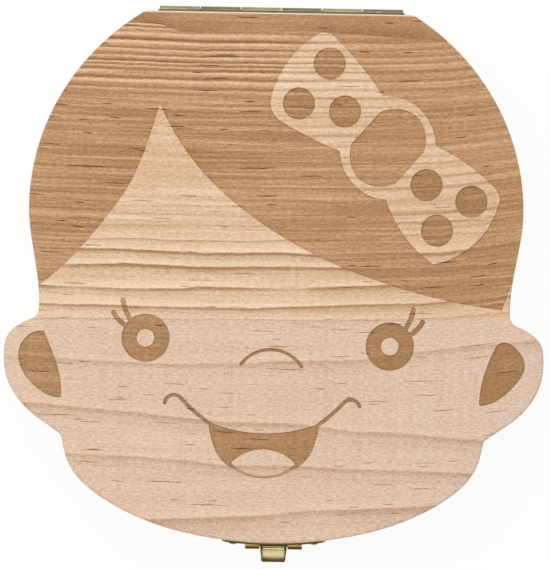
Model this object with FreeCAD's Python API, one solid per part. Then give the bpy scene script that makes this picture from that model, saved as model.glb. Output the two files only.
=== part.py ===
"""Baby tooth box: a keepsake case in the outline of a baby's head.

Two milled pine boards, a base with one well for each milk tooth and a lid with an engraved face,
are joined by a brass butt hinge on the flat at the back and closed by a brass tongue latch at the chin.
Millimetres. +Z is up, +Y points to the hinge, -Y to the latch. The origin is on the underside,
near the middle of the outline.
"""

import FreeCAD
import Part
import math
import os

from FreeCAD import Vector

# Boards
HEAD_WIDTH = 120.0
HEAD_DEPTH = 118.4
BASE_HEIGHT = 20.0
LID_HEIGHT = 10.0
EDGE_ROUND = 0.65
BACK_FLAT_MARGIN = 2.2
BACK_CORNER_ROUND = 3.0
EAR_TOP_ROUND = 2.6
EAR_LOBE_ROUND = 0.9
CHIN_RADIUS = 88.0
CUT_OVERRUN = 1.0

# Head outline, as shares of half the width and half the depth, right-hand half from the back to the chin
DOME_HALF_WIDTH_SHARE = 0.916
DOME_CENTRE_SHARE = 0.259
DOME_STATIONS = 7
TEMPLE_SHARES = (0.872, -0.101)
EAR_SHARES = [
    (0.873, -0.157),
    (0.950, -0.190),
    (0.988, -0.229),
    (1.000, -0.296),
    (0.988, -0.386),
    (0.953, -0.454),
    (0.890, -0.521),
    (0.826, -0.566),
    (0.783, -0.598),
]
CHEEK_SHARES = [
    (0.764, -0.679),
    (0.727, -0.746),
    (0.654, -0.814),
    (0.541, -0.881),
]
CHIN_END_SHARE = 0.36
CHIN_SHARE = -0.993

# Wells in the base: one for each milk tooth in two jaws, round two larger keepsake wells
TEETH_PER_JAW = 10
WELL_RADIUS = 4.5
WELL_FLOOR = 8.0
WELL_CHAMFER = 0.5
JAW_HALF_WIDTH_SHARE = 0.675
JAW_HALF_DEPTH_SHARE = 0.700
JAW_CENTRE_SHARE = -0.02
JAW_END_ANGLE = 11.0
KEEPSAKE_RADIUS = 11.0
KEEPSAKE_FLOOR = 7.0
KEEPSAKE_WALL = 6.0

# Engraved face on the lid
ENGRAVING_DEPTH = 0.4
HAIR_PEAK_SHARES = (-0.437, 0.649)
HAIR_LEFT_SHARES = [(-0.476, 0.517), (-0.533, 0.369), (-0.660, 0.180), (-0.804, 0.020), (-0.930, -0.075)]
HAIR_RIGHT_SHARES = [
    (-0.375, 0.532),
    (-0.258, 0.379),
    (-0.090, 0.234),
    (0.094, 0.119),
    (0.366, 0.003),
    (0.639, -0.071),
    (0.842, -0.103),
]
HAIR_TEMPLE_SHARES = [(0.876, -0.003), (0.900, 0.080)]
HAIR_OUTSIDE_SHARE = 1.1
BOW_CENTRE_SHARES = (0.409, 0.499)
BOW_ANGLE = -41.0
BOW_LENGTH = 58.0
BOW_WIDTH = 21.0
# Each loop of the bow in shares of half its length and width: waist, side, tip, end, tip, side, waist
LEFT_LOOP_SHARES = [
    (-0.289, 0.743),
    (-0.586, 0.917),
    (-0.954, 1.005),
    (-1.014, 0.078),
    (-0.858, -1.145),
    (-0.600, -1.010),
    (-0.254, -0.728),
]
RIGHT_LOOP_SHARES = [
    (0.261, 0.713),
    (0.572, 0.874),
    (0.883, 0.869),
    (0.985, -0.268),
    (0.856, -1.191),
    (0.585, -1.175),
    (0.257, -0.839),
]
LEFT_LOOP_BACK_ROUND = 3.3
LEFT_LOOP_SIDE_ROUND = 5.0
RIGHT_LOOP_SIDE_ROUND = 3.5
RIGHT_LOOP_FRONT_ROUND = 0.8
KNOT_WIDTH = 21.4
KNOT_DEPTH = 23.0
HOLLOW_LENGTH = 15.2
HOLLOW_SPAN = 18.8
HOLLOW_WIDTH = 13.2
BOW_DOT_RADIUS = 3.57
BOW_DOT_SHARES = [
    (-0.762, 0.504),
    (-0.733, -0.559),
    (-0.430, -0.034),
    (0.411, -0.039),
    (0.752, 0.335),
    (0.704, -0.606),
]
EYE_PLACES_SHARES = [(-0.475, -0.229), (0.429, -0.246)]
EYE_RADIUS = 5.35
PUPIL_RADIUS = 1.95
LASH_WIDTH = 1.1
LASH_SHARES = [[(0.60, 0.70), (0.83, 1.10), (0.95, 1.54)], [(0.80, 0.48), (1.12, 0.72), (1.35, 1.03)]]
NOSE_SHARES = [(-0.120, -0.321), (-0.012, -0.265), (0.104, -0.327)]
NOSE_LINE_WIDTH = 0.7
MOUTH_CENTRE_SHARE = -0.032
SMILE_LINE_WIDTH = 0.85
LEFT_SMILE_SHARES = [(-0.368, -0.471), (-0.342, -0.442), (-0.308, -0.452), (-0.257, -0.503), (-0.197, -0.548)]
RIGHT_SMILE_SHARES = [(0.353, -0.473), (0.326, -0.449), (0.296, -0.459), (0.252, -0.503), (0.197, -0.548)]
MOUTH_TOP_SHARES = [(-0.207, -0.539), (0.0, -0.580), (0.207, -0.539)]
MOUTH_SIDE_SHARES = [(0.197, -0.590), (0.168, -0.665), (0.120, -0.711), (0.062, -0.739)]
MOUTH_BOTTOM_SHARE = -0.748
TONGUE_CORNER_SHARES = (0.119, -0.692)
TONGUE_TOP_SHARE = -0.640
TONGUE_BOTTOM_SHARE = -0.741
LEFT_EAR_INNER_SHARES = [(-0.851, -0.209), (-0.808, -0.314), (-0.785, -0.411), (-0.786, -0.459)]
LEFT_EAR_OUTER_SHARES = [
    (-0.820, -0.454),
    (-0.877, -0.422),
    (-0.929, -0.359),
    (-0.945, -0.295),
    (-0.921, -0.237),
]
RIGHT_EAR_INNER_SHARES = [(0.824, -0.236), (0.797, -0.295), (0.771, -0.381), (0.763, -0.464)]
RIGHT_EAR_OUTER_SHARES = [(0.817, -0.449), (0.889, -0.390), (0.930, -0.309), (0.898, -0.247), (0.855, -0.223)]
EAR_HOLLOW_ROUND = 0.5

# Brass sheet, pins and nails
SHEET = 0.5
PIN_CLEARANCE = 0.05
KNUCKLE_GAP = 0.2
SWING_CLEARANCE = 0.3
NAIL_SHANK_RADIUS = 0.5
NAIL_LENGTH = 6.0
NAIL_POINT = 1.0
NAIL_HEAD_RADIUS = 1.2
NAIL_HEAD_HEIGHT = 0.6
NAIL_CLEARANCE = 0.03

# Hinge on the back flat
HINGE_LENGTH = 55.0
HINGE_SHIFT = 0.4
HINGE_KNUCKLES = 6
HINGE_PIN_RADIUS = 0.5
HINGE_EDGE_MARGIN = 1.6
HINGE_CORNER_ROUND = 0.8
HINGE_NAILS = 3
HINGE_NAIL_INSET = 5.7

# Latch on the chin: a tongue on the lid over a hook on the base
LATCH_SHIFT = 0.7
LATCH_PLATE_WIDTH = 23.1
LATCH_KNUCKLE = 3.45
LATCH_PIN_RADIUS = 0.4
LATCH_AXIS_RISE = 2.0
LATCH_STANDOFF = 0.1
LATCH_EDGE_MARGIN = 1.8
LATCH_CORNER_ROUND = 1.2
LATCH_NAIL_INSET = 2.5
PLATE_CLEARANCE = 0.02
TONGUE_WIDTH = 5.9
TONGUE_TILT = 6.0
TONGUE_RUN = 5.2
TONGUE_BEND_RADIUS = 2.2
TONGUE_BEND_ANGLE = 63.0
TONGUE_LIP = 1.72
TONGUE_TIP_WIDTH = 5.4
TONGUE_TIP_ROUND = 0.7
TONGUE_BEAD_RADIUS = 0.4
TONGUE_FLANGE = 0.7
TONGUE_WALL_ROUND = 0.8
CATCH_HEIGHT = 8.0
CATCH_NAIL_INSET = 1.8
HOOK_WIDTH = 4.2
HOOK_REACH = 1.0
HOOK_DROP = 3.0
HOOK_LIP = 0.3
HOOK_CLEARANCE = 0.3

# Sizes and places that several pieces share
LATCH_WIDTH = TONGUE_WIDTH + 2 * LATCH_KNUCKLE
BACK_Y = HEAD_DEPTH / 2
CHIN_Y = CHIN_SHARE * HEAD_DEPTH / 2
SEAM_Z = BASE_HEIGHT
TOP_Z = BASE_HEIGHT + LID_HEIGHT
UP = Vector(0, 0, 1)
RIGHT = Vector(1, 0, 0)


def spot(shares):
    """Point on the outline's plane from shares of half the width and half the depth."""
    return Vector(shares[0] * HEAD_WIDTH / 2, shares[1] * HEAD_DEPTH / 2, 0)


def spots(table):
    """Points for a table of shares."""
    return [spot(pair) for pair in table]


def smooth(points, start=None, end=None):
    """Smooth edge through points, with optional directions at its two ends."""
    curve = Part.BSplineCurve()
    if start is None:
        curve.interpolate(Points=points)
    else:
        ends = [Vector(direction).normalize() for direction in (start, end)]
        curve.interpolate(Points=points, InitialTangent=ends[0], FinalTangent=ends[1], Scale=False)
    return curve.toShape()


def line(start, end):
    """Straight edge."""
    return Part.LineSegment(start, end).toShape()


def arc(start, middle, end):
    """Round edge through three points."""
    return Part.Arc(start, middle, end).toShape()


def region(edges):
    """Face inside a closed chain of edges."""
    return Part.Face(Part.Wire(Part.__sortEdges__(edges)))


def mirrored(shape):
    """Copy of a shape on the other side of the middle plane."""
    return shape.mirror(Vector(0, 0, 0), RIGHT)


def moved(shape, offset):
    """Copy of a shape, moved by a vector."""
    copy = shape.copy()
    copy.translate(offset)
    return copy


def disc(centre, radius):
    """Round face on the outline's plane."""
    return region([Part.Circle(centre, UP, radius).toShape()])


def upright_edges(solid, places):
    """Vertical edges of a solid that stand on the given points of the outline's plane."""
    found = []
    for edge in solid.Edges:
        ends = [vertex.Point for vertex in edge.Vertexes]
        if len(ends) != 2 or abs(ends[0].z - ends[1].z) < CUT_OVERRUN / 2:
            continue
        for place in places:
            if math.hypot(ends[0].x - place.x, ends[0].y - place.y) < SHEET / 2:
                found.append(edge)
    return found


def cross_edges(solid, places):
    """Edges of a solid along X that pass through the given points of the middle plane."""
    found = []
    for edge in solid.Edges:
        start = edge.Vertexes[0].Point
        for place in places:
            near = math.hypot(start.y - place.y, start.z - place.z) < SHEET / 100
            if near and edge.BoundBox.XLength > SHEET / 2:
                found.append(edge)
    return found


def level_edges(solid, height):
    """Edges of a solid that lie wholly at one height."""
    slack = SHEET / 100
    found = []
    for edge in solid.Edges:
        if abs(edge.BoundBox.ZMin - height) < slack and abs(edge.BoundBox.ZMax - height) < slack:
            found.append(edge)
    return found


# Boards
def chin_centre():
    """Middle of the chin's round."""
    return Vector(0, CHIN_Y + CHIN_RADIUS, 0)


def chin_direction(across):
    """Direction out of the chin's round at a distance from the middle plane."""
    angle = math.asin(across / CHIN_RADIUS)
    return Vector(math.sin(angle), -math.cos(angle), 0)


def dome_centre():
    """Height of the round back's widest place in the outline."""
    return DOME_CENTRE_SHARE * HEAD_DEPTH / 2


def dome_half():
    """Half the greatest width of the round back."""
    return DOME_HALF_WIDTH_SHARE * HEAD_WIDTH / 2


def back_angle():
    """Angle, seen from the middle of the round back, at which it meets the flat for the hinge."""
    return math.acos((HINGE_LENGTH / 2 + BACK_FLAT_MARGIN) / dome_half())


def dome_rise():
    """Rise of the round back that lets it meet the flat."""
    return (BACK_Y - dome_centre()) / math.sin(back_angle())


def dome_point(angle):
    """Point of the head's round back at an angle from the widest place."""
    return Vector(dome_half() * math.cos(angle), dome_centre() + dome_rise() * math.sin(angle), 0)


def dome_direction(angle):
    """Direction along the round back, towards the ear."""
    return Vector(dome_half() * math.sin(angle), -dome_rise() * math.cos(angle), 0)


def head_face():
    """Outline of the head as a face, mirrored about the middle plane."""
    angles = [back_angle() * (1 - step / (DOME_STATIONS - 1)) for step in range(DOME_STATIONS)]
    dome = smooth([dome_point(a) for a in angles], dome_direction(back_angle()), dome_direction(0))
    towards_chin = Vector(0, CHIN_Y, 0)
    temple = smooth([dome_point(0), spot(TEMPLE_SHARES)], towards_chin, towards_chin)
    ear_points = spots(EAR_SHARES)
    temple_end = line(spot(TEMPLE_SHARES), ear_points[0])
    outward = chin_direction(CHIN_END_SHARE * HEAD_WIDTH / 2)
    chin_end = chin_centre() + outward * CHIN_RADIUS
    cheek_points = [ear_points[-1]] + spots(CHEEK_SHARES) + [chin_end]
    into_cheek = cheek_points[1] - cheek_points[0]
    cheek = smooth(cheek_points, into_cheek, outward.cross(UP))
    half = [dome, temple, temple_end, smooth(ear_points), cheek]
    back_end = dome_point(back_angle())
    back_flat = line(Vector(-back_end.x, back_end.y, 0), back_end)
    chin = arc(chin_end, Vector(0, CHIN_Y, 0), Vector(-chin_end.x, chin_end.y, 0))
    return region(half + [mirrored(edge) for edge in half] + [back_flat, chin])


def head_board(floor, height):
    """Board with the head's outline, its corners and its upper and lower edges rounded."""
    board = moved(head_face(), Vector(0, 0, floor)).extrude(Vector(0, 0, height))
    corners = [
        (dome_point(back_angle()), BACK_CORNER_ROUND),
        (spot(EAR_SHARES[0]), EAR_TOP_ROUND),
        (spot(EAR_SHARES[-1]), EAR_LOBE_ROUND),
    ]
    for place, radius in corners:
        other_side = Vector(-place.x, place.y, 0)
        board = board.makeFillet(radius, upright_edges(board, [place, other_side]))
    rims = level_edges(board, floor) + level_edges(board, floor + height)
    return board.makeFillet(EDGE_ROUND, rims)


def well(place, radius, floor):
    """Cutter for one round well in the base down to a floor, with a chamfered rim."""
    rim = radius + WELL_CHAMFER
    outline = [
        Vector(0, 0, floor),
        Vector(radius, 0, floor),
        Vector(radius, 0, SEAM_Z - WELL_CHAMFER),
        Vector(rim, 0, SEAM_Z),
        Vector(rim, 0, SEAM_Z + CUT_OVERRUN),
        Vector(0, 0, SEAM_Z + CUT_OVERRUN),
    ]
    edges = [line(a, b) for a, b in zip(outline, outline[1:] + outline[:1])]
    cutter = region(edges).revolve(Vector(0, 0, 0), UP, 360)
    return moved(cutter, place)


def tooth_places():
    """Middles of the tooth wells, both jaws."""
    step = (180 - 2 * JAW_END_ANGLE) / (TEETH_PER_JAW - 1)
    places = []
    for jaw in (1, -1):
        for tooth in range(TEETH_PER_JAW):
            angle = math.radians(jaw * (JAW_END_ANGLE + step * tooth))
            across = JAW_HALF_WIDTH_SHARE * math.cos(angle)
            along = JAW_CENTRE_SHARE + JAW_HALF_DEPTH_SHARE * math.sin(angle)
            places.append(spot((across, along)))
    return places


def base_block():
    """Base: a board with the tooth wells, the two keepsake wells and the nail holes."""
    wells = [well(place, WELL_RADIUS, WELL_FLOOR) for place in tooth_places()]
    middle = spot((0, JAW_CENTRE_SHARE))
    for side in (-1, 1):
        place = middle + Vector(side * (KEEPSAKE_RADIUS + KEEPSAKE_WALL / 2), 0, 0)
        wells.append(well(place, KEEPSAKE_RADIUS, KEEPSAKE_FLOOR))
    holes = nail_holes(hinge_nail_seats(-1) + catch_nail_seats())
    return head_board(0, BASE_HEIGHT).cut(wells + holes)


# Engraved face
def stroke(path, width):
    """Line of the engraving with round ends, along a chain of edges."""
    return Part.Face(Part.Wire(path).makeOffset2D(width / 2))


def lens(corners, middles):
    """Face between two arcs that share their ends."""
    return region([arc(corners[0], middle, corners[1]) for middle in middles])


def bow_place(along, across):
    """Point of the bow from its own length and width."""
    turn = math.radians(BOW_ANGLE)
    x = along * math.cos(turn) - across * math.sin(turn)
    y = along * math.sin(turn) + across * math.cos(turn)
    return spot(BOW_CENTRE_SHARES) + Vector(x, y, 0)


def bow_spot(shares):
    """Point of the bow from shares of half its length and half its width."""
    return bow_place(shares[0] * BOW_LENGTH / 2, shares[1] * BOW_WIDTH / 2)


def bow_loop(table, first_round, second_round):
    """One loop of the bow, with two rounded tips, as an upright prism through the engraving."""
    points = [bow_spot(pair) for pair in table]
    sides = [arc(*points[0:3]), arc(*points[2:5]), arc(*points[4:7]), line(points[6], points[0])]
    loop = engraving_prism(region(sides))
    loop = loop.makeFillet(first_round, upright_edges(loop, [points[2]]))
    return loop.makeFillet(second_round, upright_edges(loop, [points[4]]))


def oval(centre, long_end, short_end):
    """Oval face from its middle and the ends of its long and its short axis."""
    return region([Part.Ellipse(long_end, short_end, centre).toShape()])


def knot():
    """Outline of the bow's knot, upright on the board."""
    centre = bow_place(0, 0)
    return oval(centre, centre + Vector(0, KNOT_DEPTH / 2, 0), centre + Vector(KNOT_WIDTH / 2, 0, 0))


def knot_hollow():
    """Engraved middle of the bow's knot: an oval across the bow, cut straight on both sides."""
    corners = [(-1, -1), (1, -1), (1, 1), (-1, 1)]
    strip = [bow_place(a * HOLLOW_WIDTH / 2, b * HOLLOW_SPAN) for a, b in corners]
    sides = [line(a, b) for a, b in zip(strip, strip[1:] + strip[:1])]
    round_part = oval(bow_place(0, 0), bow_place(0, HOLLOW_SPAN / 2), bow_place(HOLLOW_LENGTH / 2, 0))
    return region(sides).common(round_part)


def engraving_prism(face):
    """Upright cutter from the engraving's floor to above the lid."""
    cutter = moved(face, Vector(0, 0, TOP_Z - ENGRAVING_DEPTH))
    return cutter.extrude(Vector(0, 0, ENGRAVING_DEPTH + CUT_OVERRUN))


def hair():
    """Engraved hair: all above the hairline apart from the bow, whose dots and knot are engraved too."""
    peak = spot(HAIR_PEAK_SHARES)
    left = smooth([peak] + spots(HAIR_LEFT_SHARES))
    right = smooth([peak] + spots(HAIR_RIGHT_SHARES))
    far = HAIR_OUTSIDE_SHARE
    outside = [(far, far), (-far, far), (-far, HAIR_LEFT_SHARES[-1][1]), HAIR_LEFT_SHARES[-1]]
    path = spots([HAIR_RIGHT_SHARES[-1]] + HAIR_TEMPLE_SHARES + outside)
    cutter = engraving_prism(region([left, right] + [line(a, b) for a, b in zip(path, path[1:])]))
    left_loop = bow_loop(LEFT_LOOP_SHARES, LEFT_LOOP_BACK_ROUND, LEFT_LOOP_SIDE_ROUND)
    right_loop = bow_loop(RIGHT_LOOP_SHARES, RIGHT_LOOP_SIDE_ROUND, RIGHT_LOOP_FRONT_ROUND)
    bow = left_loop.fuse([right_loop, engraving_prism(knot())])
    dots = [engraving_prism(disc(bow_spot(pair), BOW_DOT_RADIUS)) for pair in BOW_DOT_SHARES]
    return [cutter.cut(bow), engraving_prism(knot_hollow())] + dots


def eye(shares, side):
    """Engraved eye: a ring round the pupil, with two lashes on its outer side."""
    centre = spot(shares)
    ring = disc(centre, EYE_RADIUS).cut(disc(centre, PUPIL_RADIUS))
    parts = [engraving_prism(ring)]
    for lash in LASH_SHARES:
        points = [centre + Vector(side * x * EYE_RADIUS, y * EYE_RADIUS, 0) for x, y in lash]
        parts.append(engraving_prism(stroke([arc(*points)], LASH_WIDTH)))
    return parts


def mouth():
    """Engraved mouth: a smile line at each corner and an open mouth with the tongue left plain."""
    shift = Vector(MOUTH_CENTRE_SHARE * HEAD_WIDTH / 2, 0, 0)
    top = arc(*spots(MOUTH_TOP_SHARES))
    side = [top.Vertexes[-1].Point] + spots(MOUTH_SIDE_SHARES)
    bottom = spot((0, MOUTH_BOTTOM_SHARE))
    left_side = [Vector(-p.x, p.y, 0) for p in reversed(side)]
    opening = region([top, smooth(side + [bottom] + left_side)])
    corner = spot(TONGUE_CORNER_SHARES)
    corners = [Vector(-corner.x, corner.y, 0), corner]
    tongue = lens(corners, [spot((0, TONGUE_TOP_SHARE)), spot((0, TONGUE_BOTTOM_SHARE))])
    faces = [opening.cut(tongue)]
    for table in (LEFT_SMILE_SHARES, RIGHT_SMILE_SHARES):
        smile = spots(table)
        faces.append(stroke([arc(*smile[:3]), arc(*smile[2:])], SMILE_LINE_WIDTH))
    return [engraving_prism(moved(face, shift)) for face in faces]


def ear_hollow(inner_shares, outer_shares):
    """Engraved hollow of an ear between its inner and outer line."""
    inner = spots(inner_shares)
    outer = [inner[-1]] + spots(outer_shares) + [inner[0]]
    hollow = engraving_prism(region([smooth(inner), smooth(outer)]))
    return hollow.makeFillet(EAR_HOLLOW_ROUND, upright_edges(hollow, [inner[0], inner[-1]]))


def lid_board():
    """Lid: a board with the engraved face and the nail holes."""
    cutters = hair()
    cutters += eye(EYE_PLACES_SHARES[0], -1) + eye(EYE_PLACES_SHARES[1], 1)
    cutters.append(engraving_prism(stroke([arc(*spots(NOSE_SHARES))], NOSE_LINE_WIDTH)))
    cutters += mouth()
    cutters.append(ear_hollow(LEFT_EAR_INNER_SHARES, LEFT_EAR_OUTER_SHARES))
    cutters.append(ear_hollow(RIGHT_EAR_INNER_SHARES, RIGHT_EAR_OUTER_SHARES))
    holes = nail_holes(hinge_nail_seats(1) + latch_nail_seats())
    return head_board(SEAM_Z, LID_HEIGHT).cut(cutters + holes)


# Nails
def nail_shape(shank_radius):
    """Round-headed nail along +Y with the underside of its head at the origin."""
    dome_radius = (NAIL_HEAD_RADIUS ** 2 + NAIL_HEAD_HEIGHT ** 2) / (2 * NAIL_HEAD_HEIGHT)
    dome_centre = NAIL_HEAD_HEIGHT - dome_radius
    half_angle = math.asin(NAIL_HEAD_RADIUS / dome_radius) / 2
    crown = Vector(dome_radius * math.sin(half_angle), dome_centre + dome_radius * math.cos(half_angle), 0)
    tip = Vector(0, -NAIL_LENGTH, 0)
    shoulder = Vector(shank_radius, NAIL_POINT - NAIL_LENGTH, 0)
    neck = Vector(shank_radius, 0, 0)
    rim = Vector(NAIL_HEAD_RADIUS, 0, 0)
    top = Vector(0, NAIL_HEAD_HEIGHT, 0)
    edges = [line(tip, shoulder), line(shoulder, neck), line(neck, rim), arc(rim, crown, top), line(top, tip)]
    return region(edges).revolve(Vector(0, 0, 0), Vector(0, 1, 0), 360)


def nails(seats):
    """Nails whose heads sit at the given places and face the given level directions."""
    solids = []
    for place, outward in seats:
        nail = nail_shape(NAIL_SHANK_RADIUS)
        nail.rotate(Vector(0, 0, 0), UP, math.degrees(math.atan2(-outward.x, outward.y)))
        solids.append(moved(nail, place))
    return Part.Compound(solids)


def nail_holes(seats):
    """Cutters for the shanks of nails."""
    radius = NAIL_SHANK_RADIUS + NAIL_CLEARANCE
    length = NAIL_LENGTH + NAIL_CLEARANCE + CUT_OVERRUN
    cutters = []
    for place, outward in seats:
        start = place + outward * CUT_OVERRUN
        cutters.append(Part.makeCylinder(radius, length, start, outward.negative()))
    return cutters


def hinge_nail_seats(side):
    """Places and directions of the hinge nails on the leaf above (1) or below (-1) the seam."""
    height = SEAM_Z + side * (hinge_barrel() + hinge_leaf_height()) / 2
    end = HINGE_LENGTH / 2 - HINGE_NAIL_INSET
    pitch = 2 * end / (HINGE_NAILS - 1)
    places = [Vector(HINGE_SHIFT + pitch * n - end, BACK_Y + SHEET, height) for n in range(HINGE_NAILS)]
    return [(place, Vector(0, 1, 0)) for place in places]


def chin_nail_seats(half_span, height):
    """Places and directions of two nails on a plate on the chin, on both sides of the latch."""
    seats = []
    for side in (-1, 1):
        outward = chin_direction(LATCH_SHIFT + side * half_span)
        place = chin_centre() + outward * (CHIN_RADIUS + PLATE_CLEARANCE + SHEET)
        seats.append((place + Vector(0, 0, height), outward))
    return seats


def latch_nail_seats():
    """Places and directions of the two nails on the latch plate."""
    height = (latch_axis().z + latch_barrel() + TOP_Z - LATCH_EDGE_MARGIN) / 2
    return chin_nail_seats(LATCH_PLATE_WIDTH / 2 - LATCH_NAIL_INSET, height)


def catch_nail_seats():
    """Places and directions of the two nails on the catch plate."""
    return chin_nail_seats(LATCH_WIDTH / 2 - CATCH_NAIL_INSET, hook_top() - CATCH_HEIGHT / 2)


# Hinge
def hinge_barrel():
    """Outer radius of the hinge's knuckles."""
    return HINGE_PIN_RADIUS + PIN_CLEARANCE + SHEET


def hinge_axis():
    """Middle of the hinge pin."""
    return Vector(HINGE_SHIFT, BACK_Y + hinge_barrel(), SEAM_Z)


def hinge_leaf_height():
    """Reach of each leaf from the seam, short of the lid's top edge."""
    return LID_HEIGHT - HINGE_EDGE_MARGIN


def knuckle(axis, start, length, radius, bore):
    """Rolled knuckle along X from a start, around a pin axis."""
    base = Vector(start, axis.y, axis.z)
    outer = Part.makeCylinder(radius, length, base, RIGHT)
    return outer.cut(Part.makeCylinder(bore, length, base, RIGHT))


def hinge_leaf(side):
    """Leaf above (1) or below (-1) the seam, with every second knuckle of the hinge."""
    clear = hinge_barrel() + SWING_CLEARANCE
    low, high = sorted((side * clear, side * hinge_leaf_height()))
    end = HINGE_SHIFT - HINGE_LENGTH / 2
    corner = Vector(end, BACK_Y, SEAM_Z + low)
    sheet = Part.makeBox(HINGE_LENGTH, SHEET, high - low, corner)
    edge_level = SEAM_Z + side * hinge_leaf_height()
    corners = [e for e in sheet.Edges if e.BoundBox.YLength > SHEET / 2]
    outer_corners = [e for e in corners if abs(e.BoundBox.ZMin - edge_level) < SHEET / 2]
    leaf = sheet.makeFillet(HINGE_CORNER_ROUND, outer_corners)
    pitch = HINGE_LENGTH / HINGE_KNUCKLES
    length = pitch - KNUCKLE_GAP
    bore = HINGE_PIN_RADIUS + PIN_CLEARANCE
    rolls = []
    for number in range((1 - side) // 2, HINGE_KNUCKLES, 2):
        start = end + pitch * number + KNUCKLE_GAP / 2
        neck = Part.makeBox(length, SHEET, clear, Vector(start, BACK_Y, SEAM_Z + min(0, side * clear)))
        tunnel = Part.makeCylinder(bore, length, Vector(start, hinge_axis().y, SEAM_Z), RIGHT)
        rolls += [neck.cut(tunnel), knuckle(hinge_axis(), start, length, hinge_barrel(), bore)]
    return leaf.fuse(rolls).removeSplitter().cut(nail_holes(hinge_nail_seats(side)))


def hinge_pin():
    """Pin through all the knuckles of the hinge."""
    start = hinge_axis() - Vector(HINGE_LENGTH / 2, 0, 0)
    return Part.makeCylinder(HINGE_PIN_RADIUS, HINGE_LENGTH, start, RIGHT)


# Latch
def latch_barrel():
    """Outer radius of the latch's knuckles."""
    return LATCH_PIN_RADIUS + PIN_CLEARANCE + SHEET


def latch_axis():
    """Middle of the latch pin."""
    return Vector(LATCH_SHIFT, CHIN_Y - latch_barrel() - LATCH_STANDOFF, SEAM_Z + LATCH_AXIS_RISE)


def plate(width, low, high):
    """Brass plate bent to the chin between two heights, its four corners rounded."""
    corner = Vector(LATCH_SHIFT - width / 2, CHIN_Y - SHEET - CUT_OVERRUN, low)
    block = Part.makeBox(width, width, high - low, corner)
    block = block.makeFillet(LATCH_CORNER_ROUND, [e for e in block.Edges if e.BoundBox.YLength > SHEET])
    foot = chin_centre() + Vector(0, 0, low - CUT_OVERRUN)
    height = high - low + 2 * CUT_OVERRUN
    inside = CHIN_RADIUS + PLATE_CLEARANCE
    outer = Part.makeCylinder(inside + SHEET, height, foot)
    return block.common(outer.cut(Part.makeCylinder(inside, height, foot)))


def latch_plate():
    """Plate on the lid, its lower edge rolled into a knuckle on each side of the tongue."""
    clear = latch_axis().z + latch_barrel() + SWING_CLEARANCE
    low = clear - LATCH_CORNER_ROUND
    sheet = plate(LATCH_PLATE_WIDTH, low, TOP_Z - LATCH_EDGE_MARGIN)
    gap_half = TONGUE_WIDTH / 2 + KNUCKLE_GAP
    room_corner = Vector(LATCH_SHIFT - gap_half, CHIN_Y - SHEET - CUT_OVERRUN, low - CUT_OVERRUN)
    room = Part.makeBox(2 * gap_half, SHEET + 2 * CUT_OVERRUN, clear - low + CUT_OVERRUN, room_corner)
    length = LATCH_WIDTH / 2 - gap_half
    bore = LATCH_PIN_RADIUS + PIN_CLEARANCE
    rolls = []
    for start in (LATCH_SHIFT - LATCH_WIDTH / 2, LATCH_SHIFT + gap_half):
        neck_corner = Vector(start, CHIN_Y - SHEET, latch_axis().z)
        neck = Part.makeBox(length, SHEET, clear - latch_axis().z, neck_corner)
        tunnel = Part.makeCylinder(bore, length, Vector(start, latch_axis().y, latch_axis().z), RIGHT)
        rolls += [neck.cut(tunnel), knuckle(latch_axis(), start, length, latch_barrel(), bore)]
    return sheet.cut(room).fuse(rolls).removeSplitter().cut(nail_holes(latch_nail_seats()))


def latch_pin():
    """Pin through the plate's knuckles and the tongue."""
    start = latch_axis() - Vector(LATCH_WIDTH / 2, 0, 0)
    return Part.makeCylinder(LATCH_PIN_RADIUS, LATCH_WIDTH, start, RIGHT)


def tongue_point(out, down):
    """Point on the middle plane, from the latch axis outward and downward."""
    return latch_axis() + Vector(0, -out, -down)


def tongue_side(offset):
    """Start, bend and end of the tongue's side view, at a distance from its middle surface."""
    tilt = math.radians(TONGUE_TILT)
    turned = math.radians(TONGUE_TILT + TONGUE_BEND_ANGLE)
    start_radius = latch_barrel() - SHEET / 2
    centre_out = (start_radius + TONGUE_BEND_RADIUS) * math.cos(tilt) + TONGUE_RUN * math.sin(tilt)
    centre_down = TONGUE_RUN * math.cos(tilt) - (start_radius + TONGUE_BEND_RADIUS) * math.sin(tilt)
    reach = start_radius + offset
    first = tongue_point(reach * math.cos(tilt), -reach * math.sin(tilt))
    radius = TONGUE_BEND_RADIUS - offset
    bend = []
    for angle in (tilt, (tilt + turned) / 2, turned):
        out = centre_out - radius * math.cos(angle)
        bend.append(tongue_point(out, centre_down + radius * math.sin(angle)))
    last = bend[2] + Vector(0, -TONGUE_LIP * math.sin(turned), -TONGUE_LIP * math.cos(turned))
    return first, bend, last


def tongue_band(near, far):
    """Side view of the tongue between two distances from its middle surface: a run, a bend and a lip."""
    first_near, bend_near, last_near = tongue_side(near)
    first_far, bend_far, last_far = tongue_side(far)
    edges = [
        line(first_near, bend_near[0]),
        arc(*bend_near),
        line(bend_near[2], last_near),
        line(last_near, last_far),
        line(last_far, bend_far[2]),
        arc(*reversed(bend_far)),
        line(bend_far[0], first_far),
        line(first_far, first_near),
    ]
    return region(edges)


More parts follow.
